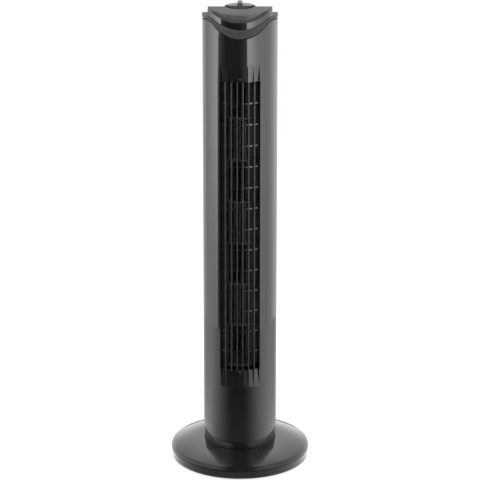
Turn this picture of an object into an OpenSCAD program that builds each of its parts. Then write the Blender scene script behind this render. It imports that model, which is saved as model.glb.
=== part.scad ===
// Oscillating tower fan: round dished base, swivelling tower, long grille,
// cross-flow wheel, wheel motor, swing drive and a rotary switch on top.
// Front faces -Y, +Z is up, the feet stand on z = 0. All sizes in mm.

/* [Overall] */
// height from the floor to the top of the knob's grip
overall_h = 750; // [735:1:765]
// outside radius of the tower
body_r = 57.9; // [57.5:0.1:58.5]
// wall of the tower's shells
wall = 2.4; // [2:0.1:2.8]

/* [Base] */
// outside radius of the base at its crease
base_r = 110.5; // [108:0.5:116]
// height of the crease between the base's top and its rim
base_edge_z = 15.3; // [14.5:0.1:16]
// height of the seat that the tower's neck stands in
base_top_z = 23; // [22:0.1:24]
// height of the base's crown round the neck
crown_z = 31.5; // [30.5:0.1:31.7]
// height of the base rim's lower edge
base_rim_z = 3.3; // [2.8:0.1:4]

/* [Grille] */
// height of the lower end of the open slots
win_lo = 166; // [160:1:180]
// height of the upper end of the open slots
win_hi = 636; // [630:1:645]
// distance between neighbouring ribs
rib_pitch = 8.9; // [8.6:0.1:9.1]
// width of a rib
rib_w = 1.8; // [1.6:0.1:3]
// radius of the ribs' inner edges
rib_in_r = 50.5; // [49:0.5:52]
// number of cross bars behind the ribs
bars = 13; // [9:1:15]
// height of a cross bar
bar_h = 2.2; // [1.6:0.1:3]

/* [Wheel] */
// outside radius of the blades
wheel_r = 36; // [32:1:37]
// number of blades round the wheel
blades = 26; // [20:1:32]
// number of moulded lengths that make up the wheel
lengths = 7; // [5:1:8]
// thickness of a blade
blade_t = 1.1; // [0.9:0.1:1.5]

/* [Swing drive] */
// distance from the swivel axis to the crank's axis
crank_y = 28; // [27:0.5:29]
// length of the crank from its axis to the roller
crank_l = 16; // [15:0.5:16]

/* [Hidden] */
$fn = 96;
far = 400;
// feet and base
foot_r = 8;
foot_h = 3.6;
foot_pcd_r = 90;
feet = 5;
base_wall = 2.6;
well_r = 48.5;
well_z = 11.5;
plate_z = 3.8;
plate_t = 2;
plate_r = base_r - 4.2;
base_boss_r = 74;
crown_r = 140;
shoulder_r = 8;
seat_gap = 0.9;
// swivel
tube_r = 8;
tube_in_r = 5.2;
tube_top_z = 53;
run = 0.06;
// slotted track: screws and the space between its cheeks
track_screw_x = 10;
track_screw_y = [-20, -42];
cheek_x = 4.9;
slip_t = 1.2;
neck_z = base_top_z + slip_t + 0.1;
neck_r = body_r - 1.4;
neck_in_r = neck_r - 2.4;
seat_r = neck_r + seat_gap;
neck_top_z = 64;
floor_z = 27.8;
floor_t = 3;
sleeve_r = 12.5;
sleeve_top_z = 48;
// swing motor: its lugs stand on the floor's bosses
swing_motor_y = 31;
lug_x = 14.5;
lug_z = floor_z + floor_t + 5;
// shells
in_r = body_r - wall;
skirt_z = 32.3;
skirt_in_z = 67;
arch_r = 60;
arch_z = -3;
seam_y = 4;
// shells' top edge: it climbs from the front, rounds over and falls to the back
cut_z = 702.9;
cut_a = 48.2;
side_top_z = 723.2;
side_a = 6.4;
edge_round = 11;
groove_h = 2.7;
groove_d = 1.2;
// grille
jamb_x = rib_pitch * 3.5;
slot_w = rib_pitch - rib_w;
ramp_h = 28;
ramp_d = 3.4;
bar_first_z = 196.9;
bar_step = 33.75;
// intake
intake_lo = 172;
intake_hi = 632;
intake_rows = 5;
intake_cols = 15;
intake_step = 7.6;
intake_pitch = (intake_hi - intake_lo) / intake_rows;
// fixings and fittings of the shells
screw_z = [110, 400, 690];
post_x = 48;
seat_y = 12;
skirt_screw_x = 22;
skirt_screw_z = 46;
skirt_seat_y = 53.4;
gland_z = 88;
handle_z = 674;
handle_h = 30;
handle_w = 72;
handle_d = 20;
// screws in the floors of the middle slot's two ramps
grille_screw_z = [162.5, 640.3];
grille_seat_y = [54.6, 54.7];
tab_w = 10;
tab_y = 50.1;
tab_t = 3.4;
// dust screen behind the intake
screen_r = in_r - 0.3;
screen_t = 1.2;
screen_y = 31.3;
// wheel
wheel_lo = 166;
wheel_hi = 640;
wheel_in_r = wheel_r - 8.2;
ring_t = 1.6;
length_h = (wheel_hi - wheel_lo) / lengths;
shaft_r = 4;
// plates across the tower
low_plate_z = 146;
top_plate_z = 650;
cross_t = 2.6;
ledge_t = 3;
ledge_r = in_r - 8;
cross_screw_r = in_r - 5;
cross_screw_a = [40, 140];
// motor
motor_r = 36;
stack_lo = 92;
stack_hi = 114;
mount_r = 30;
bolt_r = 31;
// top: collar, band and cap
shoulder_z = 732.5;
shoulder_round = 3;
collar_r = body_r + 0.6;
collar_t = 2.2;
lip_r = 83;
lip_z = 657.1;
sleeve_in_r = in_r - 1.9;
shelf_z = 712;
shelf_in_r = 34;
band_r = 54.6;
band_y = -2.2;
band_top_r = 94;
band_top_z = 653.4;
band_gap = 0.4;
cap_r = 52.8;
cap_top_r = 50.3;
cap_w = 49.3;
cap_t = 2.2;
cap_screw_x = 38;
roof_r = 195;
roof_y = -18;
roof_z = 742.1;
ridge_z = 741.2;
fall = 0.27;
dish_r = 25.4;
dish_z = 735.2;
// knob
knob_r = 24;
knob_dome_r = 95;
knob_dome_z = 744.6;
grip_r = 30;
// scoop in the knob's front, behind a thin rim
scoop_z = 739;
scoop_y = 13.6;
scoop_r = 23.4;
scoop_rim = 1.5;

// ---------- helpers ----------

// draws a y-z outline w wide along x
module along_x(w) {
    rotate([90, 0, 90])
        linear_extrude(w, center = true)
            children();
}

// draws an x-z outline w deep along y
module along_y(w) {
    rotate([90, 0, 0])
        linear_extrude(w, center = true)
            children();
}

// a straight tube between two heights
module tube(r_out, r_in, z0, z1) {
    translate([0, 0, z0])
        difference() {
            cylinder(r = r_out, h = z1 - z0);
            translate([0, 0, -1])
                cylinder(r = r_in, h = z1 - z0 + 2);
        }
}

// a round rod between two heights
module rod(r, z0, z1) {
    translate([0, 0, z0])
        cylinder(r = r, h = z1 - z0);
}

// a rod along y between two depths
module rod_y(r, y0, y1) {
    translate([0, y1, 0])
        rotate([90, 0, 0])
            cylinder(r = r, h = y1 - y0);
}

// copies a child round the z axis
module round_z(n, first = 0) {
    for (i = [0 : n - 1])
        rotate([0, 0, first + i * 360 / n])
            children();
}

// a pan-head screw, head up, its head's underside at z = 0
module screw(r, len, head_r, head_h) {
    difference() {
        union() {
            translate([0, 0, -len])
                cylinder(r = r, h = len + 0.1);
            cylinder(r1 = head_r, r2 = head_r * 0.82, h = head_h);
        }
        for (a = [0, 90])
            rotate([0, 0, a])
                translate([-head_r * 0.55, -0.35, head_h - 0.9])
                    cube([head_r * 1.1, 0.7, 2]);
    }
}

// ---------- base ----------

// section of the base's crown, an inset smaller
module crown_section(inset) {
    translate([seat_r, crown_z - crown_r])
        circle(r = crown_r - inset);
}

module base_outline() {
    difference() {
        intersection() {
            crown_section(0);
            union() {
                translate([0, base_rim_z])
                    square([base_r - shoulder_r + 2.7, crown_z]);
                translate([base_r - shoulder_r, base_edge_z + 0.3])
                    circle(r = shoulder_r);
                polygon([
                    [0, base_rim_z], [base_r - 1.1, base_rim_z],
                    [base_r, base_edge_z - 0.3], [base_r, base_edge_z + 0.3],
                    [0, base_edge_z + 0.3]
                ]);
            }
            translate([0, base_rim_z])
                square([far, far]);
        }
        translate([-1, base_top_z])
            square([seat_r + 1, far]);
        // thin line that parts the rim from the shoulder
        translate([base_r - 0.5, base_edge_z - 0.3])
            square([2, 0.6]);
    }
}

module base_hollow() {
    intersection() {
        crown_section(base_wall);
        polygon([
            [well_r + base_wall, base_rim_z - 1], [base_r - 3.7, base_rim_z - 1],
            [base_r - 3.7, base_edge_z], [base_r - 9.5, base_edge_z + 5.3],
            [base_r - 9.5, crown_z], [seat_r + base_wall, crown_z],
            [seat_r + base_wall, base_top_z - base_wall],
            [well_r + base_wall, base_top_z - base_wall]
        ]);
    }
}

module base_cover() {
    color("#1a1a1b")
        difference() {
            union() {
                difference() {
                    rotate_extrude()
                        base_outline();
                    rotate_extrude()
                        base_hollow();
                    rod(well_r + 1, base_rim_z - 1, well_z - base_wall);
                    rod(well_r + base_wall + 1, base_rim_z - 1, plate_z + plate_t + 0.3);
                    rod(well_r, well_z, base_top_z + 1);
                }
                // ribs under the top
                intersection() {
                    rotate_extrude()
                        base_outline();
                    round_z(10)
                        translate([well_r + 1, -1, plate_z + plate_t + 0.6])
                            cube([base_r - well_r - 8, 2, far]);
                }
                // bosses for the plate's screws
                round_z(5, 36)
                    translate([base_boss_r, 0, 0])
                        rod(4.4, plate_z + plate_t, crown_z - base_wall - 0.1);
                rod(tube_r + 5, plate_z + plate_t + 0.4, well_z);
            }
            round_z(5, 36)
                translate([base_boss_r, 0, 0])
                    rod(1.6, plate_z, base_top_z - base_wall - 3);
            rod(tube_r + run, 0, well_z + 1);
            rod(tube_r + 3.1, 0, well_z - 2.4);
            for (x = [-track_screw_x, track_screw_x])
                for (y = track_screw_y)
                    translate([x, y, 0])
                        rod(1.3, 0, well_z + 1);
            translate([0, 0, base_top_z - 0.6])
                difference() {
                    rod(neck_r - 1.2, 0, 2);
                    rod(neck_r - 6.2, -1, 3);
                }
        }
}

module base_plate() {
    color("#232324")
        difference() {
            union() {
                rod(plate_r, plate_z, plate_z + plate_t);
                tube(plate_r, plate_r - 1.6, plate_z, plate_z + 4);
                round_z(5, 36)
                    translate([base_boss_r, 0, 0])
                        rod(7, plate_z - 0.6, plate_z + plate_t);
            }
            round_z(5, 36)
                translate([base_boss_r, 0, 0]) {
                    rod(2, 0, plate_z + 5);
                    rod(4, 0, plate_z + 0.6);
                }
            round_z(feet)
                translate([0, -foot_pcd_r, 0])
                    rod(2.6, 0, plate_z + 5);
            // windows that save weight
            round_z(10, 18)
                translate([38, -6, 0])
                    cube([22, 12, far]);
            rod(16, 0, far);
        }
}

module rubber_feet() {
    color("#3a3a3a")
        round_z(feet)
            translate([0, -foot_pcd_r, 0]) {
                difference() {
                    rod(foot_r, 0, foot_h);
                    rod(foot_r - 3, -1, 0.8);
                }
                rod(2.6, foot_h - 0.2, plate_z + plate_t + 0.3);
                translate([0, 0, plate_z + plate_t + 0.2])
                    cylinder(r1 = 3.6, r2 = 2.2, h = 1.8);
            }
}

module base_screws() {
    color("#8f9091")
        round_z(5, 36)
            translate([base_boss_r, 0, plate_z + 0.5])
                rotate([180, 0, 0])
                    screw(1.6, 11, 3.4, 1.8);
}

module swivel_tube() {
    color("#a9abad")
        difference() {
            union() {
                rod(tube_r, well_z - 2.6, tube_top_z);
                rod(tube_r + 3, well_z - 5, well_z - 2.5);
            }
            rod(tube_in_r, 0, far);
            tube(tube_r + 1, tube_r - 0.8, sleeve_top_z + 1.5, sleeve_top_z + 2.8);
        }
}

module slip_ring() {
    color("#e9e6dc")
        tube(neck_r - 1.3, neck_r - 6.1, base_top_z - 0.6, base_top_z + slip_t);
}

// slotted track in the base that the crank's roller runs in
module swing_track() {
    color("#dedbd0")
        difference() {
            union() {
                translate([-13, -45, well_z])
                    cube([26, 31, 1.6]);
                for (s = [-1, 1])
                    translate([s * (cheek_x + 1.2) - 1.2, -47, well_z])
                        cube([2.4, 36, 7]);
                for (s = [-1, 1])
                    for (y = [-32, -16])
                        translate([s * track_screw_x - 3, y - 1, well_z])
                            cube([6, 2, 4.5]);
            }
            for (x = [-track_screw_x, track_screw_x])
                for (y = track_screw_y)
                    translate([x, y, 0]) {
                        rod(1.6, 0, far);
                        rod(3.1, well_z + 1.6, far);
                    }
            translate([-4, -48, well_z - 1])
                cube([8, 30, 4]);
        }
}

module track_screws() {
    color("#8f9091")
        for (x = [-track_screw_x, track_screw_x])
            for (y = track_screw_y)
                translate([x, y, well_z + 1.6])
                    screw(1.3, 4, 2.6, 1.5);
}

// ---------- swivel joint ----------

module swivel_washer() {
    color("#e9e6dc")
        tube(11.5, tube_r + 0.15, sleeve_top_z + 0.1, sleeve_top_z + 1.4);
}

module swivel_clip() {
    color("#77797b")
        difference() {
            tube(11, tube_r - 0.75, sleeve_top_z + 1.6, sleeve_top_z + 2.7);
            translate([-4, 5, 0])
                cube([8, 20, far]);
        }
}

module bottom_housing() {
    color("#141415")
        difference() {
            union() {
                tube(neck_r, neck_in_r, neck_z, neck_top_z);
                rod(neck_in_r + 0.5, floor_z, floor_z + floor_t);
                rod(sleeve_r, floor_z, sleeve_top_z);
                for (a = [25, 90, 155, 205, 335])
                    rotate([0, 0, a])
                        translate([sleeve_r - 1, -1, floor_z])
                            cube([neck_in_r - sleeve_r + 1.5, 2, 11]);
                for (x = [-lug_x, lug_x])
                    translate([x, -swing_motor_y, 0])
                        rod(3.6, floor_z, lug_z);
                for (s = [-1, 1])
                    translate([s * skirt_screw_x, 0, skirt_screw_z])
                        rod_y(4, 38, 50);
            }
            rod(tube_r + run, 0, far);
            translate([0, -crank_y, 0])
                rod(7.4, 0, floor_z + floor_t + 1);
            for (x = [-lug_x, lug_x])
                translate([x, -swing_motor_y, 0])
                    rod(1.4, floor_z + 2, far);
            for (s = [-1, 1])
                translate([s * skirt_screw_x, 0, skirt_screw_z])
                    rod_y(1.4, 40, 60);
            translate([-5, 30, floor_z - 1])
                cube([10, 16, 6]);
        }
}

module swing_motor() {
    color("#b9bbbd")
        difference() {
            union() {
                translate([0, -swing_motor_y, 0]) {
                    rod(17.5, lug_z + 0.1, lug_z + 15);
                    rod(16.2, lug_z + 15, lug_z + 16);
                }
                translate([-18.8, -34.6, lug_z + 0.1])
                    cube([37.6, 7.2, 1.2]);
                translate([0, -crank_y, 0])
                    rod(5, floor_z + 2, lug_z + 0.2);
                translate([-6, -51.5, lug_z + 3])
                    cube([12, 6, 9]);
            }
            for (x = [-lug_x, lug_x])
                translate([x, -swing_motor_y, 0])
                    rod(1.7, 0, lug_z + 1.3);
            for (x = [-lug_x, lug_x])
                translate([x, -swing_motor_y, lug_z + 1.3])
                    rod(3.4, 0, far);
            translate([0, -crank_y, 0])
                rod(2.5 + run, 0, lug_z + 9);
        }
}

module swing_motor_screws() {
    color("#8f9091")
        for (x = [-lug_x, lug_x])
            translate([x, -swing_motor_y, lug_z + 1.3])
                screw(1.4, 7, 2.7, 1.6);
}

module crank() {
    color("#d8d4c6")
        difference() {
            union() {
                translate([0, -crank_y, 0]) {
                    rod(4.6, 20.6, 27);
                    rod(2.5, 26.8, lug_z + 8);
                }
                translate([-2.6, -crank_y - crank_l, 20.6])
                    cube([5.2, crank_l, 3]);
                translate([0, -crank_y - crank_l, 0])
                    rod(3.4, 20.6, 23.6);
                translate([0, -crank_y - crank_l, 0])
                    rod(1.5, 13.6, 20.8);
            }
            translate([0, -crank_y - crank_l, 0])
                rod(0.7, 13, 15.6);
        }
}

module crank_roller() {
    color("#f0eee6")
        translate([0, -crank_y - crank_l, 0])
            tube(3, 1.5 + run, 14, 20.2);
}

// ---------- tower shells ----------

// side outline of what lies below the shells' top edge, raised by lift
module below_edge(lift = 0) {
    rise = tan(cut_a);
    drop = tan(side_a);
    y = (side_top_z - cut_z - rise * body_r) / (rise + drop);
    z = side_top_z - drop * y;
    k = edge_round / (1 + cos(cut_a + side_a));
    t = edge_round * tan((cut_a + side_a) / 2);
    translate([0, lift]) {
        translate([y + k * (sin(cut_a) - sin(side_a)), z - k * (cos(cut_a) + cos(side_a))])
            circle(r = edge_round - 0.02);
        polygon([
            [-far / 2, 0], [far / 2, 0], [far / 2, side_top_z - fall * far / 2],
            [0, side_top_z], [y + t * cos(side_a), z - t * sin(side_a)],
            [y - t * cos(cut_a), z - t * sin(cut_a)],
            [-far / 2, cut_z + rise * (body_r - far / 2)]
        ]);
    }
}

module shell_tube() {
    difference() {
        union() {
            intersection() {
                tube(body_r, in_r, skirt_in_z - 0.5, side_top_z + 10);
                along_x(far)
                    below_edge();
            }
            tube(body_r, neck_r + 0.1, skirt_z, skirt_in_z);
            // inner lip under the collar, at the bottom of the shadow groove
            intersection() {
                tube(body_r - groove_d, in_r, cut_z - 12, side_top_z + 10);
                along_x(far)
                    below_edge(groove_h - 0.25);
            }
        }
        translate([0, 0, arch_z])
            rotate([0, 90, 0])
                cylinder(r = arch_r, h = far, center = true);
    }
}

// the slots' ends slope from the surface down to the opening
module ramp_cone(z_in, z_out, inset) {
    rise = z_out - z_in;
    k = ramp_d / abs(rise);
    extra = 3;
    lo = min(z_in, z_out) - (rise > 0 ? 0 : extra);
    hi = max(z_in, z_out) + (rise > 0 ? extra : 0);
    r_lo = rise > 0 ? body_r - ramp_d : body_r + k * extra;
    r_hi = rise > 0 ? body_r + k * extra : body_r - ramp_d;
    translate([0, 0, lo])
        cylinder(r1 = r_lo - inset, r2 = r_hi - inset, h = hi - lo);
}

module ramp_block(z_in, z_out) {
    intersection() {
        difference() {
            rod(body_r, min(z_in, z_out), max(z_in, z_out));
            ramp_cone(z_in, z_out, wall);
        }
        translate([-jamb_x - 2, -far, 0])
            cube([2 * jamb_x + 4, far, far * 3]);
    }
}

module ramp_grooves(z_in, z_out) {
    for (i = [-3 : 3])
        intersection() {
            difference() {
                rod(body_r + 2, min(z_in, z_out) - 0.5, max(z_in, z_out) + 1);
                ramp_cone(z_in, z_out, 0);
            }
            translate([i * rib_pitch - slot_w / 2, -far, 0])
                cube([slot_w, far, far * 3]);
        }
}

// plan of one rib at a distance x from the middle
module rib_section(x) {
    front = sqrt(body_r * body_r - x * x) - rib_w / 2;
    back = sqrt(rib_in_r * rib_in_r - x * x);
    translate([x, -front])
        circle(r = rib_w / 2, $fn = 32);
    translate([x - rib_w / 2 + 0.02, -front])
        square([rib_w - 0.04, front - back]);
}

module front_shell() {
    color("#151516")
        difference() {
            union() {
                difference() {
                    intersection() {
                        shell_tube();
                        translate([-far / 2, -far + seam_y - 0.1, 0])
                            cube([far, far, far * 3]);
                    }
                    translate([-jamb_x, -far, win_lo])
                        cube([2 * jamb_x, far, win_hi - win_lo]);
                }
                ramp_block(win_hi, win_hi + ramp_h);
                ramp_block(win_lo, win_lo - ramp_h);
                // round-nosed ribs between the slots, and the jambs beside them
                translate([0, 0, win_lo - 1])
                    linear_extrude(win_hi - win_lo + 2)
                        for (i = [-3 : 2])
                            rib_section((i + 0.5) * rib_pitch);
                intersection() {
                    tube(body_r, rib_in_r, win_lo - 1, win_hi + 1);
                    for (s = [-1, 1])
                        translate([s * (jamb_x + 1) - 1, -far, 0])
                            cube([2, far, far * 3]);
                }
                // cross bars set back behind the ribs
                intersection() {
                    union()
                        for (i = [0 : bars - 1])
                            tube(rib_in_r + 3.4, rib_in_r + 0.4,
                                 bar_first_z + i * bar_step - bar_h / 2,
                                 bar_first_z + i * bar_step + bar_h / 2);
                    translate([-jamb_x - 1, -far, 0])
                        cube([2 * jamb_x + 2, far, far * 3]);
                }
                // screw posts behind the seam
                for (z = screw_z)
                    for (s = [-1, 1])
                        translate([s * post_x, 0, z])
                            rod_y(4, -26, seam_y - 0.1);
            }
            ramp_grooves(win_hi, win_hi + ramp_h);
            ramp_grooves(win_lo, win_lo - ramp_h);
            for (k = [0, 1])
                translate([0, 0, grille_screw_z[k]]) {
                    rod_y(1.2, -far, -40);
                    rod_y(2.1, -far, -grille_seat_y[k]);
                }
            for (z = screw_z)
                for (s = [-1, 1])
                    translate([s * post_x, 0, z])
                        rod_y(1.5, -14, seam_y + 1);
        }
}

module rear_shell() {
    color("#161617")
        difference() {
            union() {
                intersection() {
                    shell_tube();
                    translate([-far / 2, seam_y + 0.1, 0])
                        cube([far, far, far * 3]);
                }
                // tongue that locates the front shell
                intersection() {
                    tube(in_r - 0.15, in_r - 1.3, 80, 680);
                    for (s = [-1, 1])
                        translate([s * in_r - 6, seam_y - 5, 0])
                            cube([12, 6, far * 3]);
                }
                intersection() {
                    tube(in_r + 0.3, in_r - 1.3, 80, 680);
                    for (s = [-1, 1])
                        translate([s * in_r - 6, seam_y + 0.3, 0])
                            cube([12, 3, far * 3]);
                }
                intersection() {
                    for (z = screw_z)
                        for (s = [-1, 1])
                            translate([s * post_x, 0, z])
                                rod_y(4.2, seam_y + 0.1, 31);
                    rod(body_r - 0.4, 0, far * 2);
                }
                // ledges for the two cross plates
                for (z = [low_plate_z, top_plate_z])
                    intersection() {
                        tube(in_r + 0.3, ledge_r, z - ledge_t, z);
                        translate([-far / 2, seam_y + 0.1, 0])
                            cube([far, far, far * 3]);
                    }
                handle_cup(0);
            }
            // intake slots
            for (r = [0 : intake_rows - 1])
                for (c = [0 : intake_cols - 1])
                    rotate([0, 0, 90 + (c - (intake_cols - 1) / 2) * intake_step])
                        translate([in_r - 6, -1.9, intake_lo + r * intake_pitch])
                            cube([20, 3.8, intake_pitch - 5]);
            for (z = screw_z)
                for (s = [-1, 1])
                    translate([s * post_x, 0, z]) {
                        rod_y(1.9, 0, 60);
                        rod_y(3.6, seat_y, 60);
                    }
            for (s = [-1, 1])
                translate([s * skirt_screw_x, 0, skirt_screw_z]) {
                    rod_y(1.8, 40, 60);
                    rod_y(3.3, skirt_seat_y, 60);
                }
            translate([0, 0, gland_z])
                rod_y(5.2, 40, 70);
            for (z = [low_plate_z, top_plate_z])
                for (a = cross_screw_a)
                    rotate([0, 0, a])
                        translate([cross_screw_r, 0, 0])
                            rod(1.4, z - ledge_t - 1, z + 1);
            handle_cup(wall);
        }
}

// recessed carrying grip at the back; inset = 0 gives its outside
module handle_cup(inset) {
    intersection() {
        translate([0, 0, handle_z])
            along_y(far)
                union() {
                    square([handle_w - handle_h, handle_h - 2 * inset], center = true);
                    for (s = [-1, 1])
                        translate([s * (handle_w - handle_h) / 2, 0])
                            circle(r = handle_h / 2 - inset);
                }
        translate([-far / 2, body_r - handle_d - (inset > 0 ? 0 : wall), 0])
            cube([far, inset > 0 ? far : 40, far * 3]);
        rod(inset > 0 ? far : body_r - 0.5, 600, 740);
    }
}

module shell_screws() {
    color("#8f9091") {
        for (z = screw_z)
            for (s = [-1, 1])
                translate([s * post_x, seat_y, z])
                    rotate([-90, 0, 0])
                        screw(1.5, 18, 3.2, 2);
        for (s = [-1, 1])
            translate([s * skirt_screw_x, skirt_seat_y, skirt_screw_z])
                rotate([-90, 0, 0])
                    screw(1.4, 11, 2.8, 1.6);
    }
}

module grille_screws() {
    color("#8f9091")
        for (k = [0, 1])
            translate([0, -grille_seat_y[k], grille_screw_z[k]])
                rotate([90, 0, 0])
                    screw(1, 7.9, 1.9, 1);
}

// fine screen that keeps dust out of the wheel
module intake_screen() {
    color("#141414")
        intersection() {
            tube(screen_r, screen_r - screen_t, low_plate_z + cross_t + 0.4,
                 top_plate_z - ledge_t - 0.4);
            translate([-far / 2, screen_y, 0])
                cube([far, far, far * 3]);
        }
}

// tab of a cross plate that a grille screw holds, from z0 to z1
module grille_tab(z0, z1, plate_z0) {
    translate([-tab_w / 2, -tab_y, z0])
        cube([tab_w, tab_t, z1 - z0]);
    translate([-tab_w / 2, -tab_y, plate_z0])
        cube([tab_w, 12, cross_t]);
}

module cord_gland() {
    color("#0f0f10")
        difference() {
            union() {
                translate([0, 0, gland_z]) {
                    rod_y(5.1, 52, 60.5);
                    rod_y(7, 58.2, 60.5);
                    rod_y(6.6, 51.5, 54.9);
                }
            }
            translate([0, 0, gland_z])
                rod_y(3.4, 40, 70);
        }
}

// ---------- wheel motor ----------

module motor_plate() {
    color("#2a2a2b")
        difference() {
            union() {
                intersection() {
                    rod(in_r - 1.6, low_plate_z, low_plate_z + cross_t);
                    translate([-far / 2, -40, 0])
                        cube([far, far, far]);
                }
                tube(21, 19, low_plate_z - 4, low_plate_z + 0.1);
                grille_tab(low_plate_z, grille_screw_z[0] + 4, low_plate_z);
            }
            translate([0, 0, grille_screw_z[0]])
                rod_y(1, -far, -40);
            rod(9, 0, far);
            round_z(3, 30)
                translate([mount_r, 0, 0])
                    rod(4.1, 0, far);
            round_z(6)
                translate([42, -4, 0])
                    cube([7, 8, far]);
            for (a = cross_screw_a)
                rotate([0, 0, a])
                    translate([cross_screw_r, 0, 0])
                        rod(1.7, 0, far);
        }
}

module plate_screws() {
    color("#8f9091")
        for (z = [low_plate_z, top_plate_z])
            for (a = cross_screw_a)
                rotate([0, 0, a])
                    translate([cross_screw_r, 0, z + cross_t])
                        screw(1.4, 5.4, 2.6, 1.6);
}

module motor_bracket_low() {
    color("#b4b6b8")
        difference() {
            union() {
                rod(motor_r, stack_lo - 14, stack_lo);
                rod(11, stack_lo - 18, stack_lo - 13);
            }
            rod(motor_r - 1.4, stack_lo - 12.6, stack_lo + 1);
            rod(shaft_r + run, 0, far);
            rod(8, stack_lo - 16.6, stack_lo - 12);
            round_z(6, 30)
                translate([22, -4, 0])
                    cube([9, 8, stack_lo - 10]);
            round_z(4, 45)
                translate([bolt_r, 0, 0])
                    rod(2, 0, far);
        }
}

module motor_bracket_top() {
    color("#b4b6b8")
        difference() {
            union() {
                rod(motor_r, stack_hi, stack_hi + 14);
                rod(11, stack_hi + 13, stack_hi + 18);
                round_z(3, 30)
                    translate([mount_r, 0, 0])
                        rod(4.4, stack_hi + 13, stack_hi + 20);
            }
            rod(motor_r - 1.4, stack_hi - 1, stack_hi + 12.6);
            rod(shaft_r + run, 0, far);
            rod(8, stack_hi + 12, stack_hi + 16.6);
            round_z(3, 30)
                translate([mount_r, 0, 0])
                    rod(1.6, stack_hi + 10, far);
            round_z(4, 45)
                translate([bolt_r, 0, 0])
                    rod(2, 0, far);
            round_z(3, 90)
                translate([20, -5, 0])
                    cube([8, 10, far]);
        }
}

module motor_stack() {
    color("#6d6f72")
        difference() {
            intersection() {
                rod(motor_r, stack_lo, stack_hi);
                translate([-33, -33, 0])
                    cube([66, 66, far]);
            }
            rod(16.5, 0, far);
            round_z(4)
                translate([15, -5, 0])
                    cube([10, 10, far]);
            round_z(4)
                translate([16, -9, 0])
                    cube([3, 18, far]);
            round_z(4, 45)
                translate([bolt_r, 0, 0])
                    rod(2, 0, far);
        }
}

module motor_windings() {
    color("#9a4f22")
        round_z(4)
            difference() {
                translate([17.6, -8, stack_lo - 7])
                    cube([6.2, 16, stack_hi - stack_lo + 14]);
                translate([10, -20, stack_lo - 0.2])
                    cube([9.4, 40, stack_hi - stack_lo + 0.4]);
                translate([10, -20, stack_lo - 0.2])
                    cube([40, 15.2, stack_hi - stack_lo + 0.4]);
                translate([10, 4.8, stack_lo - 0.2])
                    cube([40, 15.2, stack_hi - stack_lo + 0.4]);
            }
}

module motor_bolts() {
    color("#8f9091")
        round_z(4, 45)
            translate([bolt_r, 0, 0]) {
                rod(1.9, stack_lo - 14, stack_hi + 14);
                rod(3.2, stack_hi + 14, stack_hi + 16);
                rod(3.2, stack_lo - 16, stack_lo - 14);
            }
}

module motor_mounts() {
    color("#202021")
        round_z(3, 30)
            translate([mount_r, 0, 0])
                difference() {
                    union() {
                        rod(4, stack_hi + 20, low_plate_z + cross_t + 3);
                        rod(7, stack_hi + 20, low_plate_z);
                        rod(6.4, low_plate_z + cross_t, low_plate_z + cross_t + 3);
                    }
                    rod(1.6, 0, far);
                    tube(8, 5.2, stack_hi + 25, low_plate_z - 4);
                }
}

module motor_rotor() {
    color("#c3c5c7")
        union() {
            rod(shaft_r, stack_lo - 24, wheel_lo - 1);
            rod(16, stack_lo - 1, stack_hi + 1);
            rod(13, stack_lo - 5, stack_hi + 5);
        }
}

// ---------- wheel ----------

module wheel_hub() {
    color("#202022")
        difference() {
            union() {
                rod(wheel_r, wheel_lo - ring_t, wheel_lo);
                rod(10, wheel_lo - 12, wheel_lo);
                round_z(6)
                    translate([9, -0.9, wheel_lo - 5])
                        cube([wheel_in_r - 10, 1.8, 4]);
            }
            rod(shaft_r, 0, wheel_lo - 1);
            translate([0, 0, wheel_lo - 7])
                rotate([0, 90, 0])
                    cylinder(r = 1.5, h = 20);
        }
}

module hub_screw() {
    color("#8f9091")
        translate([0, 0, wheel_lo - 7])
            rotate([0, 90, 0])
                difference() {
                    translate([0, 0, shaft_r])
                        cylinder(r = 1.5, h = 7.6);
                    translate([0, 0, shaft_r + 6])
                        cylinder(r = 0.8, h = 3, $fn = 6);
                }
}

// one blade's outline: a thin forward-leaning arc
module blade_shape() {
    intersection() {
        difference() {
            circle(r = wheel_r - 0.4);
            circle(r = wheel_in_r + 0.4);
        }
        translate([(wheel_r + wheel_in_r) / 2 + 1.6, -8])
            difference() {
                circle(r = 9);
                circle(r = 9 - blade_t);
            }
        translate([wheel_in_r - 2, -2])
            square([14, 12]);
    }
}

// one moulded length: a ring with its blades standing on it
module wheel_length(i) {
    z0 = wheel_lo + i * length_h;
    color("#26272a")
        union() {
            tube(wheel_r, wheel_in_r, z0, z0 + ring_t);
            round_z(blades, i * 360 / blades / 2)
                translate([0, 0, z0 + ring_t - 0.1])
                    linear_extrude(length_h - ring_t + 0.1)
                        blade_shape();
        }
}

module wheel_cap() {
    color("#202022")
        difference() {
            union() {
                rod(wheel_r, wheel_hi, wheel_hi + ring_t);
                rod(7, wheel_hi - 6, wheel_hi + 4);
                round_z(6)
                    translate([6, -0.9, wheel_hi + ring_t - 0.1])
                        cube([wheel_in_r - 8, 1.8, 1.6]);
            }
            rod(shaft_r - 1, wheel_hi - 5, wheel_hi + 5);
        }
}

module wheel_pin() {
    color("#c3c5c7")
        rod(shaft_r - 1, wheel_hi - 5, top_plate_z + 12);
}

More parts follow.
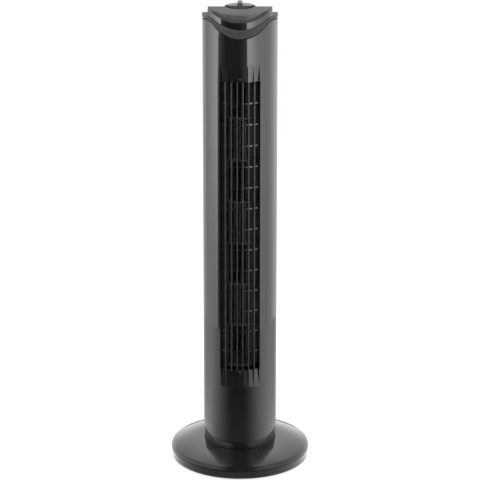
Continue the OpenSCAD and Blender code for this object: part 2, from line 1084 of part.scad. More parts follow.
module bearing_plate() {
    color("#2a2a2b")
        difference() {
            union() {
                intersection() {
                    rod(in_r - 1.6, top_plate_z, top_plate_z + cross_t);
                    translate([-far / 2, -40, 0])
                        cube([far, far, far * 3]);
                }
                grille_tab(grille_screw_z[1] - 4, top_plate_z + cross_t, top_plate_z);
                rod(14, top_plate_z, top_plate_z + 9);
                round_z(6)
                    translate([13, -1, top_plate_z + 2])
                        cube([30, 2, 4]);
            }
            translate([0, 0, grille_screw_z[1]])
                rod_y(1, -far, -40);
            rod(11, top_plate_z + 2, far * 3);
            rod(6, 0, far * 3);
            for (a = cross_screw_a)
                rotate([0, 0, a])
                    translate([cross_screw_r, 0, 0]) {
                        rod(1.7, 0, far * 3);
                        rod(3.2, top_plate_z + cross_t, far * 3);
                    }
        }
}

module bearing_cushion() {
    color("#1c1c1d")
        difference() {
            rod(11, top_plate_z + 2, top_plate_z + 9.6);
            translate([0, 0, top_plate_z + 5.8])
                sphere(r = 6.4);
            rod(4.6, 0, far * 3);
        }
}

module bearing_bush() {
    color("#b08a3e")
        difference() {
            intersection() {
                translate([0, 0, top_plate_z + 5.8])
                    sphere(r = 6.4);
                rod(8, top_plate_z + 2.4, top_plate_z + 9.2);
            }
            rod(shaft_r - 1 + run, 0, far * 3);
        }
}

// ---------- air path ----------

// scroll wall that leads the air from the wheel to the slots
module air_guide() {
    color("#1b1b1c")
        translate([0, 0, low_plate_z + cross_t])
            linear_extrude(top_plate_z - low_plate_z - cross_t)
                difference() {
                    intersection() {
                        translate([-1, 0])
                            difference() {
                                circle(r = 41.4);
                                circle(r = 39.8);
                            }
                        translate([-60, -34])
                            square([56, 70]);
                    }
                    translate([-60, 18])
                        square([36, 40]);
                }
}

// tongue that parts the leaving air from the entering air
module air_tongue() {
    color("#1b1b1c")
        translate([0, 0, low_plate_z + cross_t])
            linear_extrude(top_plate_z - low_plate_z - cross_t)
                difference() {
                    polygon([[33, -36], [40, -24], [41, -6], [43.4, -6], [43, -30], [36, -39]]);
                    circle(r = wheel_r + 1.5);
                }
}

module wire_harness() {
    color("#d9d9d6")
        translate([30, 41, 0])
            rod(2.4, low_plate_z + cross_t + 2, top_plate_z - ledge_t - 0.5);
}

// ---------- top ----------

// side outline of what lies below the collar's top, lowered by drop
module collar_below(drop = 0) {
    intersection() {
        translate([0, lip_z])
            circle(r = lip_r - drop);
        polygon([
            [-far / 2, 500], [far / 2, 500],
            [far / 2, shoulder_z - fall * far / 2 - drop],
            [0, shoulder_z - drop], [-far / 2, shoulder_z - drop]
        ]);
    }
}

// round outline with two flat sides that the cap fills
module cap_plan(r, half_w) {
    intersection() {
        circle(r = r);
        square([half_w * 2, far], center = true);
    }
}

module crown(r_out, drop) {
    intersection() {
        rotate_extrude()
            union() {
                translate([0, 680])
                    square([r_out, shoulder_z - 680 - shoulder_round]);
                translate([0, shoulder_z - shoulder_round - 1])
                    square([r_out - shoulder_round, shoulder_round + 1 - drop]);
                translate([r_out - shoulder_round, shoulder_z - shoulder_round])
                    circle(r = shoulder_round - drop / 2);
            }
        along_x(far)
            collar_below(drop);
    }
}

module top_collar() {
    color("#39393b")
        difference() {
            union() {
                difference() {
                    crown(collar_r, 0);
                    crown(in_r + 0.3, collar_t);
                    along_x(far)
                        below_edge(groove_h);
                }
                // sleeve that plugs into the shells, with a shelf for the cap
                intersection() {
                    union() {
                        tube(in_r - 0.15, sleeve_in_r, shelf_z - 6, shoulder_z);
                        tube(in_r - 0.2, shelf_in_r, shelf_z - 2.2, shelf_z);
                    }
                    along_x(far)
                        collar_below(1);
                }
            }
            translate([0, 0, shelf_z])
                linear_extrude(60)
                    cap_plan(cap_r + 0.3, cap_w + 0.3);
            for (s = [-1, 1])
                translate([s * cap_screw_x, 0, 0])
                    rod(1.7, 690, 800);
        }
}

module accent_band() {
    color("#0c0c0d")
        difference() {
            intersection() {
                translate([0, band_y, 700])
                    cylinder(r = band_r, h = 60);
                translate([-cap_w, -far, 0])
                    cube([2 * cap_w, far - 14, far * 3]);
                along_x(far)
                    intersection() {
                        translate([0, band_top_z])
                            circle(r = band_top_r);
                        cap_roof(0.4);
                    }
            }
            rod(cap_r + 0.3, 690, 800);
            along_x(far)
                collar_below(-band_gap);
        }
}

// side outline of the cap's roof, lowered by drop
module cap_roof(drop) {
    intersection() {
        translate([roof_y, roof_z - roof_r])
            circle(r = roof_r - drop);
        polygon([
            [-far / 2, 500], [far / 2, 500],
            [far / 2, ridge_z - fall * far / 2 - drop],
            [0, ridge_z - drop], [-4, 780], [-far / 2, 780]
        ]);
    }
}

module cap_outside(inset) {
    intersection() {
        translate([0, 0, shelf_z + 0.1])
            cylinder(r1 = cap_r - inset, r2 = cap_top_r - inset, h = 32);
        along_y(far)
            polygon([
                [-cap_w + inset + 1.4, 700], [cap_w - inset - 1.4, 700],
                [cap_w - inset - 1.4, shoulder_z - 1], [cap_w - inset, 741],
                [cap_w - inset, 780], [-cap_w + inset, 780],
                [-cap_w + inset, 741], [-cap_w + inset + 1.4, shoulder_z - 1]
            ]);
        along_x(far)
            cap_roof(inset);
    }
}

module top_cap() {
    color("#5b5c5d")
        difference() {
            union() {
                difference() {
                    cap_outside(0);
                    difference() {
                        cap_outside(cap_t);
                        rod(dish_r + 1.8, dish_z - 7, 800);
                    }
                }
                // posts for the screws
                for (s = [-1, 1])
                    translate([s * cap_screw_x, 0, 0])
                        rod(3.6, shelf_z + 0.1, ridge_z - 1.5);
            }
            rod(dish_r, dish_z, 800);
            rod(dish_r, 700, dish_z - 2.2);
            rod(4.7, 700, 800);
            for (s = [-1, 1])
                translate([s * cap_screw_x, 0, 0])
                    rod(1.4, 700, shelf_z + 12);
        }
}

module cap_screws() {
    color("#8f9091")
        for (s = [-1, 1])
            translate([s * cap_screw_x, 0, shelf_z - 2.2])
                rotate([180, 0, 0])
                    screw(1.4, 10, 2.8, 1.6);
}

module switch_body() {
    color("#d6d3c9")
        difference() {
            union() {
                translate([-14, -14, dish_z - 20])
                    cube([28, 28, 17.8]);
                rod(4.6, dish_z - 3, dish_z + 1.8);
                for (x = [-9, -3, 3, 9])
                    translate([x - 2.4, 5, dish_z - 26])
                        cube([4.8, 0.8, 7]);
            }
            rod(3 + run, dish_z - 12, 800);
        }
}

module switch_nut() {
    color("#b4b6b8")
        difference() {
            translate([0, 0, dish_z])
                cylinder(r = 7, h = 1.6, $fn = 6);
            rod(4.6, 700, 800);
        }
}

module switch_shaft() {
    color("#c3c5c7")
        difference() {
            rod(3, dish_z - 11.6, dish_z + 8);
            translate([-5, 1.6, dish_z + 2.5])
                cube([10, 5, 10]);
        }
}

module knob_outside(inset) {
    rotate_extrude()
        intersection() {
            translate([0, knob_dome_z - knob_dome_r])
                circle(r = knob_dome_r - inset);
            translate([0, dish_z + 2.4 - inset * 10])
                square([knob_r - inset, 30]);
        }
}

module knob() {
    color("#1a1a1b")
        difference() {
            union() {
                difference() {
                    knob_outside(0);
                    difference() {
                        intersection() {
                            knob_outside(1.8);
                            translate([0, scoop_y, 0])
                                rod(scoop_r - 1.6, 700, 800);
                        }
                        rod(5.4, 700, 800);
                    }
                }
                // raised grip across the knob
                intersection() {
                    along_y(2 * knob_r)
                        polygon([
                            [-5.2, 740], [5.2, 740], [4.6, 744],
                            [3.1, overall_h - 1], [2.3, overall_h],
                            [-2.3, overall_h], [-3.1, overall_h - 1], [-4.6, 744]
                        ]);
                    along_x(20)
                        translate([0, overall_h - grip_r])
                            circle(r = grip_r);
                }
            }
            // scoop for the finger in front of the grip
            difference() {
                rod(knob_r - scoop_rim, scoop_z, 800);
                translate([0, scoop_y, 0])
                    rod(scoop_r, 700, 810);
            }
            difference() {
                rod(3 + 0.02, 700, dish_z + 8.1);
                translate([-5, 1.65, dish_z + 2.6])
                    cube([10, 5, 12]);
            }
        }
}

base_cover();
base_plate();
rubber_feet();
base_screws();
swivel_tube();
slip_ring();
swing_track();
track_screws();
swivel_washer();
swivel_clip();
bottom_housing();
swing_motor();
swing_motor_screws();
crank();
crank_roller();
front_shell();
rear_shell();
shell_screws();
grille_screws();
intake_screen();
cord_gland();
motor_plate();
plate_screws();
motor_bracket_low();
motor_bracket_top();
motor_stack();
motor_windings();
motor_bolts();
motor_mounts();
motor_rotor();
wheel_hub();
hub_screw();
wheel_length(0);  // wheel_length_1
wheel_length(1);  // wheel_length_2
wheel_length(2);  // wheel_length_3
wheel_length(3);  // wheel_length_4
wheel_length(4);  // wheel_length_5
wheel_length(5);  // wheel_length_6
wheel_length(6);  // wheel_length_7
wheel_cap();
wheel_pin();
bearing_plate();
bearing_cushion();
bearing_bush();
air_guide();
air_tongue();
wire_harness();
top_collar();
accent_band();
top_cap();
cap_screws();
switch_body();
switch_nut();
switch_shaft();
knob();
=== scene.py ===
"""Oscillating tower fan: finishes, studio and camera.

The solids come packed, in metres, front facing -Y, feet on z = 0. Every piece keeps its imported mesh, and
this script gives it its finish. The tower and the base are high-gloss black, so most of what they show is
the studio: a drum of glowing cards around the fan, seen by reflections alone, dark straight ahead and
bright at both sides. Three soft lamps light the matt pieces, and a pale floor takes the shadow.
"""

import math

import bpy
import numpy as np
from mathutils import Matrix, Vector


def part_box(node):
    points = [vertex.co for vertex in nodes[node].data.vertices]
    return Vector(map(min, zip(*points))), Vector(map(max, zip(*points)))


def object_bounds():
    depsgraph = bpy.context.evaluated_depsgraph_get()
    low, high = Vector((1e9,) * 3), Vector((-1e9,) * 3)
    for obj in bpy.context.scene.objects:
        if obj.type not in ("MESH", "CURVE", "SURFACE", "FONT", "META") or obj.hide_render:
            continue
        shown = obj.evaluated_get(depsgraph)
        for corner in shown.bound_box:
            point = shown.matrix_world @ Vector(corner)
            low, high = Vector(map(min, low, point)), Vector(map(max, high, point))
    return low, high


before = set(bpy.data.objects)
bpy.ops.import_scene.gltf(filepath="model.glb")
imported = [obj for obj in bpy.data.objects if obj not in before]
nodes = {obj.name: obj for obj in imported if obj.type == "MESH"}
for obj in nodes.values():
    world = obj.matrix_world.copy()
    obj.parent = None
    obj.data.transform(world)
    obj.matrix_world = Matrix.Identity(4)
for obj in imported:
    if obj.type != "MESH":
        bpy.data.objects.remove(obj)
cad_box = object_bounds()

# ---------- places on the solids that a finish needs ----------

TOWER_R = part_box("front_shell")[1][0]  # outside of the shells
BASE_R = cad_box[1][0]
GAP_R = TOWER_R - 0.0006  # the narrow gap under the collar lies inside this radius
GAP_Z = 0.69  # and above this height
GRILLE_LOW, GRILLE_HIGH = 0.166, 0.636  # ends of the openings
GRILLE_HALF = 0.031  # half the width of the ribs' field
GRILLE_Y = -0.0425  # the ribs lie in front of this
GRILLE_BACK_R = 0.054  # and what lies further in than this is in the dark, so it gets no painted light
NOSE = 0.0009  # depth of a rib's round nose
CAP_MIDDLE = -0.02  # y about which the cap's top is crowned

# ---------- shader maths ----------


class Value:
    """A shader value. Arithmetic on it adds Math nodes to its tree."""

    def __init__(self, owner, socket):
        self.owner, self.socket = owner, socket

    def _math(self, operation, *terms):
        return self.owner.node("ShaderNodeMath", {"operation": operation}, dict(enumerate(terms)))

    def __add__(self, other):
        return self._math("ADD", self, other)

    def __radd__(self, other):
        return self._math("ADD", other, self)

    def __sub__(self, other):
        return self._math("SUBTRACT", self, other)

    def __rsub__(self, other):
        return self._math("SUBTRACT", other, self)

    def __mul__(self, other):
        return self._math("MULTIPLY", self, other)

    def __rmul__(self, other):
        return self._math("MULTIPLY", other, self)

    def __pow__(self, other):
        return self._math("POWER", self, other)

    def sin(self):
        return self._math("SINE", self)

    def abs(self):
        return self._math("ABSOLUTE", self)

    def angle_from(self, other):
        return self._math("ARCTAN2", self, other)

    def step(self, low, high, start=0.0, end=1.0):
        """Goes smoothly from start to end as the value goes from low to high."""
        return self.owner.node("ShaderNodeMapRange", {"interpolation_type": "SMOOTHSTEP"},
                               {0: self, 1: low, 2: high, 3: start, 4: end})

    def past(self, edge, blur):
        """0 below an edge and 1 above it, blurred by so much to either side."""
        return self.step(edge - blur, edge + blur)

    def short_of(self, edge, blur):
        """1 below an edge and 0 above it, blurred by so much to either side."""
        return self.step(edge - blur, edge + blur, 1, 0)


class Tree:
    """The nodes of a material or of the world."""

    def __init__(self, tree):
        self.tree = tree
        self.tree.nodes.clear()

    def put(self, socket, value):
        if isinstance(value, Value):
            self.tree.links.new(value.socket, socket)
        else:
            socket.default_value = value

    def node(self, kind, settings=None, inputs=None, out=0):
        """Adds any node: its settings first, then the values or links of its sockets."""
        made = self.tree.nodes.new(kind)
        for key, value in (settings or {}).items():
            setattr(made, key, value)
        for key, value in (inputs or {}).items():
            self.put(made.inputs[key], value)
        return Value(self, made.outputs[out])

    def end(self, kind, last):
        """Closes the tree with its output node."""
        self.put(self.tree.nodes.new(kind).inputs[0], last)

    def place(self):
        """Where a point is, in metres."""
        return self.node("ShaderNodeTexCoord", out="Object")

    def parts(self, vector):
        split = self.node("ShaderNodeSeparateXYZ", {}, {0: vector}).socket.node
        return [Value(self, part) for part in split.outputs]

    def noise(self, scale, detail=2.0, stretch=None):
        at = self.place()
        if stretch:
            at = self.node("ShaderNodeMapping", {}, {"Vector": at, "Scale": stretch})
        return self.node("ShaderNodeTexNoise", {}, {"Vector": at, "Scale": scale, "Detail": detail})

    def mix(self, share, first, second):
        """Blends two colours."""
        return self.node("ShaderNodeMix", {"data_type": "RGBA"}, {0: share, 6: first, 7: second}, out=2)

    def blend(self, share, first, second):
        """Blends two shaders."""
        return self.node("ShaderNodeMixShader", {}, {0: share, 1: first, 2: second})

    def emission(self, colour, strength):
        return self.node("ShaderNodeEmission", {}, {"Color": colour, "Strength": strength})

    def diffuse(self, colour):
        return self.node("ShaderNodeBsdfDiffuse", {}, {"Color": colour})

    def bump(self, height, depth, strength=1.0, under=None):
        inputs = {"Height": height, "Distance": depth, "Strength": strength}
        if under is not None:
            inputs["Normal"] = under
        return self.node("ShaderNodeBump", {}, inputs)

    def seen_plainly(self):
        """1 for the camera's own rays and for those from gloss or glass, 0 for rays that light pieces."""
        rays = self.node("ShaderNodeLightPath").socket.node
        camera_ray, glossy_ray, glass_ray = [
            Value(self, rays.outputs[f"Is {ray} Ray"]) for ray in ("Camera", "Glossy", "Transmission")]
        return camera_ray + glossy_ray + glass_ray


def new_material(name):
    material = bpy.data.materials.new(name)
    material.use_nodes = True
    return material


class Finish(Tree):
    """The material of one kind of surface: a Principled shader and what it is worked out with."""

    def __init__(self, name, **fixed):
        self.material = new_material(name)
        super().__init__(self.material.node_tree)
        shader = self.node("ShaderNodeBsdfPrincipled")
        self.sockets = shader.socket.node.inputs
        self.end("ShaderNodeOutputMaterial", shader)
        self.set(**fixed)

    def set(self, **inputs):
        for key, value in inputs.items():
            self.put(self.sockets[key.replace("_", " ")], value)


def grey(level, warmth=0.0):
    """A neutral tone, a little warmer or cooler."""
    return (level * (1 + warmth), level, level * (1 - warmth), 1.0)


# ---------- finishes ----------


def moulded(name, tone, rough, grain=0.0002, relief=0.00001, warmth=0.0, spread=0.15, swell=0.0, **fixed):
    """Moulded plastic: fine grain, slow unevenness of gloss, and a trace of dust in it. A swell shades
    level faces as if they were crowned from front to rear: height falls with the square of y."""
    f = Finish(name, **fixed)
    cloud = f.noise(22.0, 3.0)
    fine = f.noise(0.45 / grain, 2.0)
    dust = f.noise(900.0, 0.0).step(0.72, 0.8)
    dark, light = grey(tone * (1 - spread), warmth), grey(tone * (1 + spread), warmth)
    base = f.mix(cloud.step(0.35, 0.65), dark, light)
    shape = f.bump(fine, relief)
    if swell:
        x, y, z = f.parts(f.place())
        away = y - CAP_MIDDLE
        shape = f.bump(away * away * -swell, 1.0, under=shape)
    f.set(Base_Color=f.mix(dust * 0.35, base, grey(min(1.0, tone * 1.6 + 0.01), warmth)),
          Roughness=rough * (0.85 + 0.3 * cloud) + dust * 0.05, Normal=shape)
    return f.material


def clear_skin(f, tone, rough):
    """A clear skin over black: its colour, its roughness, and the slow waviness that such a skin has."""
    wave = f.noise(30.0, 1.0)
    cloud = f.noise(14.0, 3.0)
    speck = f.noise(1500.0, 0.0).step(0.78, 0.84)
    base = f.mix(cloud, grey(tone * 0.8), grey(tone * 1.2))
    colour = f.mix(speck * 0.3, base, grey(tone * 2.5))
    return colour, rough * (0.8 + 0.4 * cloud) + speck * 0.08, f.bump(wave, 0.00002, 0.5)


def polished(name, tone, rough=0.08, **fixed):
    """High-gloss mould."""
    f = Finish(name, Coat_Weight=1.0, Coat_Roughness=0.03, **fixed)
    colour, dull, skin = clear_skin(f, tone, rough)
    f.set(Base_Color=colour, Roughness=dull, Normal=skin)
    return f.material


def polished_shell(name, tone, rough=0.08):
    """High-gloss mould of the tower's shells. It is matt in the gap under the collar. The grille's ribs
    are painted a tone lighter than the shell, as painted light for the reflections that their flanks
    catch. A bump shades their round noses flatter: its height grows as the radius falls short of the tower's."""
    f = Finish(name, Coat_Roughness=0.03)
    colour, dull, skin = clear_skin(f, tone, rough)
    x, y, z = f.parts(f.place())
    radius = (x * x + y * y) ** 0.5
    gap = radius.step(GAP_R - 0.0002, GAP_R, 1, 0) * z.step(GAP_Z, GAP_Z + 0.001)
    ribs = z.past(GRILLE_LOW, 0.001) * z.short_of(GRILLE_HIGH, 0.001)
    ribs = ribs * x.abs().short_of(GRILLE_HALF, 0.0005) * y.short_of(GRILLE_Y, 0.0025)
    ribs = ribs * radius.step(GRILLE_BACK_R, GRILLE_BACK_R + 0.0005)
    flatter = radius.step(TOWER_R - NOSE, TOWER_R, NOSE, 0) * ribs
    # painted light: grey(0.032) on the ribs, against the shell's darker tone, is a painted reflection on
    # their flanks
    f.set(Base_Color=f.mix(ribs, f.mix(gap, colour, grey(0.03)), grey(0.032)), Roughness=dull + gap * 0.55,
          Coat_Weight=1 - gap, Normal=f.bump(flatter, 1.0, under=skin))
    return f.material


def plated(name, tone, rough, warmth=0.0, brush=(1.0, 1.0, 12.0)):
    """Plated or turned metal with faint tool marks and stains."""
    f = Finish(name, Metallic=1.0)
    marks = f.noise(900.0, 3.0, brush)
    stain = f.noise(60.0, 4.0)
    f.set(Base_Color=f.mix(stain.step(0.35, 0.7), grey(tone, warmth), grey(tone * 0.78, warmth)),
          Roughness=rough * (0.75 + 0.5 * marks) + 0.08 * stain, Normal=f.bump(marks, 0.00001))
    return f.material


def elastomer(name, tone):
    """Soft rubber: matt, mottled, with a fine skin."""
    f = Finish(name, Specular_IOR_Level=0.35)
    cloud = f.noise(70.0, 4.0)
    fine = f.noise(2600.0, 2.0)
    f.set(Base_Color=f.mix(cloud, grey(tone * 0.8), grey(tone * 1.15)),
          Roughness=0.62 + 0.2 * fine, Normal=f.bump(fine, 0.00003))
    return f.material


def laminated(name, sheet=0.0005):
    """Stamped sheets stacked into an iron core: a dark line up its height at each sheet."""
    f = Finish(name, Metallic=0.9)
    x, y, z = f.parts(f.place())
    line = (z * (2 * math.pi / sheet)).sin().step(0.55, 0.95)
    stain = f.noise(120.0, 4.0)
    f.set(Base_Color=f.mix(line, f.mix(stain, grey(0.30, 0.03), grey(0.22, 0.1)), grey(0.06)),
          Roughness=0.38 + 0.25 * stain, Normal=f.bump(1 - line, 0.00005))
    return f.material


def wound(name, strand=0.0006):
    """Wound copper wire: rows of thin enamelled strands."""
    f = Finish(name, Metallic=0.85, Coat_Weight=0.6, Coat_Roughness=0.1)
    x, y, z = f.parts(f.place())
    pace = 2 * math.pi / strand
    row = ((x + y) * pace).sin() * (z * pace).sin()
    tone = f.noise(200.0, 2.0)
    f.set(Base_Color=f.mix(tone, (0.55, 0.17, 0.05, 1), (0.40, 0.10, 0.03, 1)),
          Roughness=0.28 + 0.2 * tone, Normal=f.bump(row, 0.00008))
    return f.material


def sintered(name):
    """Porous sintered bronze."""
    f = Finish(name, Metallic=0.9)
    pore = f.noise(4200.0, 2.0)
    f.set(Base_Color=f.mix(pore.step(0.3, 0.6), (0.20, 0.12, 0.05, 1), (0.55, 0.37, 0.16, 1)),
          Roughness=0.42 + 0.2 * pore, Normal=f.bump(pore, 0.00003))
    return f.material


wearing = {
    polished("base_black", 0.01, Specular_IOR_Level=0.15): ["base_cover"],
    polished_shell("shell_black", 0.01): ["front_shell", "rear_shell"],
    polished("band_black", 0.008, 0.05): ["accent_band"],
    moulded("satin_black", 0.016, 0.34, 0.00025): [
        "base_plate", "bottom_housing", "motor_plate", "bearing_plate"],
    moulded("duct_black", 0.06, 0.34, 0.00025): ["air_guide", "air_tongue"],
    moulded("wheel_black", 0.09, 0.38, 0.0004): [
        "wheel_hub", "wheel_cap", *(f"wheel_length_{i}" for i in range(1, 8))],
    moulded("collar_grey", 0.033, 0.65, 0.0003, 0.000015, warmth=0.02,
            Sheen_Weight=0.8, Sheen_Roughness=0.35): ["top_collar"],
    moulded("cap_grey", 0.075, 0.48, 0.0003, warmth=0.02, swell=1.4): ["top_cap"],
    moulded("knob_grey", 0.085, 0.16, 0.0004, 0.000005, Coat_Weight=0.5, Coat_Roughness=0.06): ["knob"],
    moulded("acetal", 0.72, 0.32, 0.0004, warmth=0.03, spread=0.04): [
        "slip_ring", "swing_track", "swivel_washer", "crank", "crank_roller"],
    moulded("switch_white", 0.62, 0.36, 0.0003, warmth=0.03, spread=0.05): ["switch_body"],
    moulded("sleeve_white", 0.6, 0.4, 0.0005, spread=0.08): ["wire_harness"],
    elastomer("gland_black", 0.02): ["cord_gland"],
    elastomer("foot_grey", 0.5): ["rubber_feet"],
    elastomer("mount_black", 0.02): ["motor_mounts", "bearing_cushion", "intake_screen"],
    plated("zinc", 0.62, 0.3): [
        "base_screws", "track_screws", "swing_motor_screws", "shell_screws", "plate_screws", "cap_screws",
        "motor_bolts", "hub_screw", "switch_nut", "grille_screws"],
    plated("sheet_steel", 0.55, 0.36, 0.01, (4.0, 1.0, 1.0)): [
        "swivel_tube", "swing_motor", "motor_bracket_low", "motor_bracket_top"],
    plated("spring_steel", 0.28, 0.3): ["swivel_clip"],
    plated("shaft_steel", 0.66, 0.18, 0.0, (1.0, 1.0, 30.0)): ["motor_rotor", "wheel_pin", "switch_shaft"],
    laminated("laminations"): ["motor_stack"],
    wound("copper_wire"): ["motor_windings"],
    sintered("sintered_bronze"): ["bearing_bush"],
}
for finish, names in wearing.items():
    for name in names:
        for holder in nodes[name].material_slots:
            holder.material = finish

# ---------- studio: what the cards look like ----------

# Angles are degrees about the tower from straight ahead, + towards +X; heights and reaches are metres.
LEFT_EDGE, RIGHT_EDGE = -70.6, 21.0  # the dark front lies between these
LOW = 0.5  # below this height the side panels fade


def front_glow(turn, z, reach):
    """Dark, but for a haze at both edges."""
    left_haze = turn.step(LEFT_EDGE, -40, 0.36, 0) * z.step(0.3, 0.5, 0.4, 1)
    right_haze = turn.step(-5, RIGHT_EDGE, 0, 0.22)
    return 0.03 + left_haze + right_haze


def left_glow(turn, z, reach):
    """Brightest beside the dark front, whose edge leans outwards higher up; weaker near the floor."""
    glow = turn.step(-180, -130, 0.7, 0.75) + turn.step(-125, -55, 0, 2.5)
    glow = glow * (1 - z.step(0, LOW, 1, 0) * turn.step(-115, -80, 0.15, 0.5))
    lean = z.step(0.46, 0.53, 0, 1.9) + z.step(0.545, 0.575, 0, 7.4)
    dark = (turn - lean).past(LEFT_EDGE, 0.4)
    return glow * (1 - dark) + front_glow(turn, z, reach) * dark


def right_glow(turn, z, reach):
    """Brightest beside the dark front, weaker behind and near the floor."""
    glow = turn.step(25, 62, 3.0, 1.65) - turn.step(62, 92, 0, 0.4) - turn.step(115, 165, 0, 0.55)
    return glow * (1 - z.step(0, LOW, 1, 0) * turn.step(30, 65, 0.72, 0.2))


def floor_glow(turn, z, reach):
    """Dark in front, bright at the sides, dimmer towards the rear, and a little lighter by the base."""
    sides = turn.step(-100, -20, 1.1, 0.02) + turn.step(8, 80, 0.0, 1.08)
    rear = turn.abs().step(84, 138, 0, 0.6) - turn.abs().step(140, 178, 0, 0.2)
    near = reach.step(0.12, 0.4, 0.1, 0) + reach.step(0.115, 0.17, 0.25, 0)
    return sides - rear + near


def canopy_glow(turn, z, reach):
    """What the base's top reflects: dark in front, paler further back."""
    paler = reach.step(0.2, 0.36, 1.08, 1.5) + reach.step(0.08, 0.16, 0.3, 0)
    return paler * (turn.abs().step(12, 38, 0.03, 0.8) + turn.abs().step(60, 95, 0, 0.2))


def ceiling_glow(turn, z, reach):
    """Plain over the sides and the rear, dark in front."""
    return 0.6 - turn.step(-110, -60) * turn.step(30, 75, 0.5, 0)


def card_material(name, tint, profile, below_only):
    """A glowing card. profile gives its glow from the angle, the height and the reach from the axis. A
    card that glows below only lets light from above pass."""
    material = new_material(name)
    card = Tree(material.node_tree)
    x, y, z = card.parts(card.place())
    turn = x.angle_from(-1.0 * y) * (180 / math.pi)
    glow = card.emission((*tint, 1.0), profile(turn, z, (x * x + y * y) ** 0.5))
    clear = card.node("ShaderNodeNewGeometry", out="Backfacing") if below_only else 0.0
    card.end("ShaderNodeOutputMaterial", card.blend(clear, glow, card.node("ShaderNodeBsdfTransparent")))
    return material


# ---------- studio: where they stand ----------

DRUM_R, DRUM_TOP = 0.66, 1.7  # the drum of cards
LEFT_CARD_END = -60  # the left panel reaches this far, to hold the dark front's leaning edge
CANOPY_IN, CANOPY_OUT = TOWER_R + 0.0011, DRUM_R - 0.005
CANOPY_TOP, CANOPY_RIM = 0.13, 0.035
FLOOR_CARD_IN, FLOOR_CARD_Z = BASE_R + 0.0045, 0.0006
FLOOR_R = 9.0
AXIS = 0.0001  # radius at which a disc starts
PLAIN, WARM, COOL = (1.0, 1.0, 1.0), (1.0, 0.975, 0.93), (0.97, 0.985, 1.0)


def sheet(name, points):
    """A sheet through a grid of points: rows along the first axis, columns along the second."""
    rows, cols = points.shape[:2]
    i, j = np.meshgrid(np.arange(rows - 1), np.arange(cols - 1), indexing="ij")
    corner = i * cols + j
    faces = np.stack([corner, corner + 1, corner + cols + 1, corner + cols], -1).reshape(-1, 4)
    mesh = bpy.data.meshes.new(name)
    mesh.from_pydata(points.reshape(-1, 3).tolist(), [], faces.tolist())
    mesh.update()
    obj = bpy.data.objects.new(name, mesh)
    bpy.context.scene.collection.objects.link(obj)
    return obj


def sector(radius_low, radius_high, z_low, z_high, turn_low=-180, turn_high=180, rows=2, cols=49):
    """Points of a bent card: the angle turns about the tower's axis from straight ahead towards +X,
    while radius and height go straight from their low to their high value up the card."""
    turn = np.radians(np.linspace(turn_low, turn_high, cols))[None, :]
    up = np.linspace(0, 1, rows)[:, None]
    radius = radius_low + (radius_high - radius_low) * up
    height = z_low + (z_high - z_low) * up
    return np.stack([radius * np.sin(turn), -radius * np.cos(turn), height + 0 * turn], -1)


def wall(turn_low, turn_high):
    return sector(DRUM_R, DRUM_R, 0, DRUM_TOP, turn_low, turn_high)


cards = {
    "right_panel": (wall(RIGHT_EDGE, 180), WARM, right_glow),
    "left_panel": (wall(-180, LEFT_CARD_END), COOL, left_glow),
    "front_flag": (wall(LEFT_CARD_END, RIGHT_EDGE), PLAIN, front_glow),
    "ceiling": (sector(AXIS, DRUM_R, DRUM_TOP, DRUM_TOP), PLAIN, ceiling_glow),
    "rear_canopy": (sector(CANOPY_IN, CANOPY_OUT, CANOPY_TOP, CANOPY_RIM), PLAIN, canopy_glow),
    "floor_flag": (sector(FLOOR_CARD_IN, DRUM_R, FLOOR_CARD_Z, FLOOR_CARD_Z), PLAIN, floor_glow),
}
for name, (points, tint, profile) in cards.items():
    card = sheet(name, points)
    card.data.materials.append(card_material(name, tint, profile, below_only=name == "rear_canopy"))
    # reflections alone see it
    card.visible_camera = card.visible_diffuse = card.visible_transmission = False
    card.visible_volume_scatter = card.visible_shadow = False

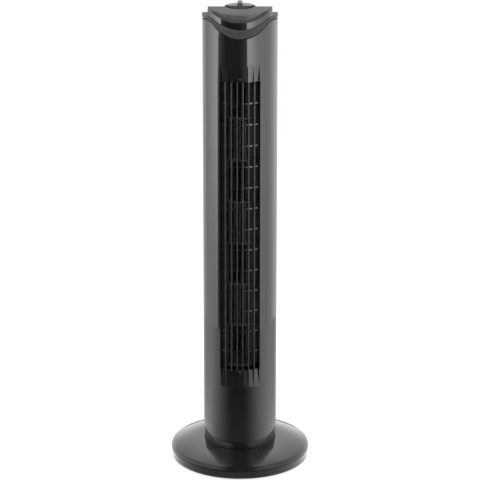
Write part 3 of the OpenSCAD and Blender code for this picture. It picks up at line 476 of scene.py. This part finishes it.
floor = sheet("floor", sector(AXIS, FLOOR_R, 0, 0, rows=24, cols=97))
floor_white = new_material("white_floor")
ground = Tree(floor_white.node_tree)
shown = ground.node("ShaderNodeAddShader", {}, {
    0: ground.diffuse(grey(0.42)), 1: ground.emission(grey(1.0), 0.78)})
ground.end("ShaderNodeOutputMaterial", ground.blend(ground.seen_plainly(), ground.diffuse(grey(0.62)), shown))
floor.data.materials.append(floor_white)

world = bpy.data.worlds.new("studio")
bpy.context.scene.world = world
world.use_nodes = True
sky = Tree(world.node_tree)
lighting = sky.node("ShaderNodeBackground", {}, {"Color": grey(1.0), "Strength": 0.55})
backdrop = sky.node("ShaderNodeBackground", {}, {"Color": grey(1.0), "Strength": 1.0})
sky.end("ShaderNodeOutputWorld", sky.blend(sky.seen_plainly(), lighting, backdrop))


def soft_lamp(name, place, aim, size, power, tint=PLAIN):
    """A square soft lamp at a place, aimed at a point, that reflections don't see."""
    data = bpy.data.lights.new(name, "AREA")
    data.shape, data.size, data.energy, data.color = "SQUARE", size, power, tint
    lamp = bpy.data.objects.new(name, data)
    bpy.context.scene.collection.objects.link(lamp)
    lamp.location = place
    away = np.array(place, float) - np.array(aim, float)
    lamp.rotation_euler = (math.acos(away[2] / np.linalg.norm(away)), 0, math.atan2(away[0], -away[1]))
    lamp.visible_glossy = lamp.visible_camera = False


soft_lamp("top_lamp", (0.0, -0.3, 2.6), (0, 0, 0.3), 2.0, 38)
soft_lamp("left_lamp", (-2.0, -1.2, 1.4), (0, 0, 0.4), 1.4, 18, COOL)
soft_lamp("right_lamp", (2.0, -1.2, 1.4), (0, 0, 0.4), 1.4, 18, (1.0, 0.975, 0.94))

# ---------- camera ----------

CAMERA_AWAY, CAMERA_UP = 3.9016, 1.7054
LOOKING_DOWN = 18.97  # degrees

camera_data = bpy.data.cameras.new("camera")
camera_data.lens, camera_data.sensor_width = 196.8, 36.0
camera_data.clip_start, camera_data.clip_end = 0.1, 60.0
camera = bpy.data.objects.new("camera", camera_data)
bpy.context.scene.collection.objects.link(camera)
camera.location = (0.0, -CAMERA_AWAY, CAMERA_UP)
camera.rotation_euler = (math.radians(90 - LOOKING_DOWN), 0.0, 0.0)
bpy.context.scene.camera = camera
bpy.context.scene.view_settings.view_transform = "Standard"
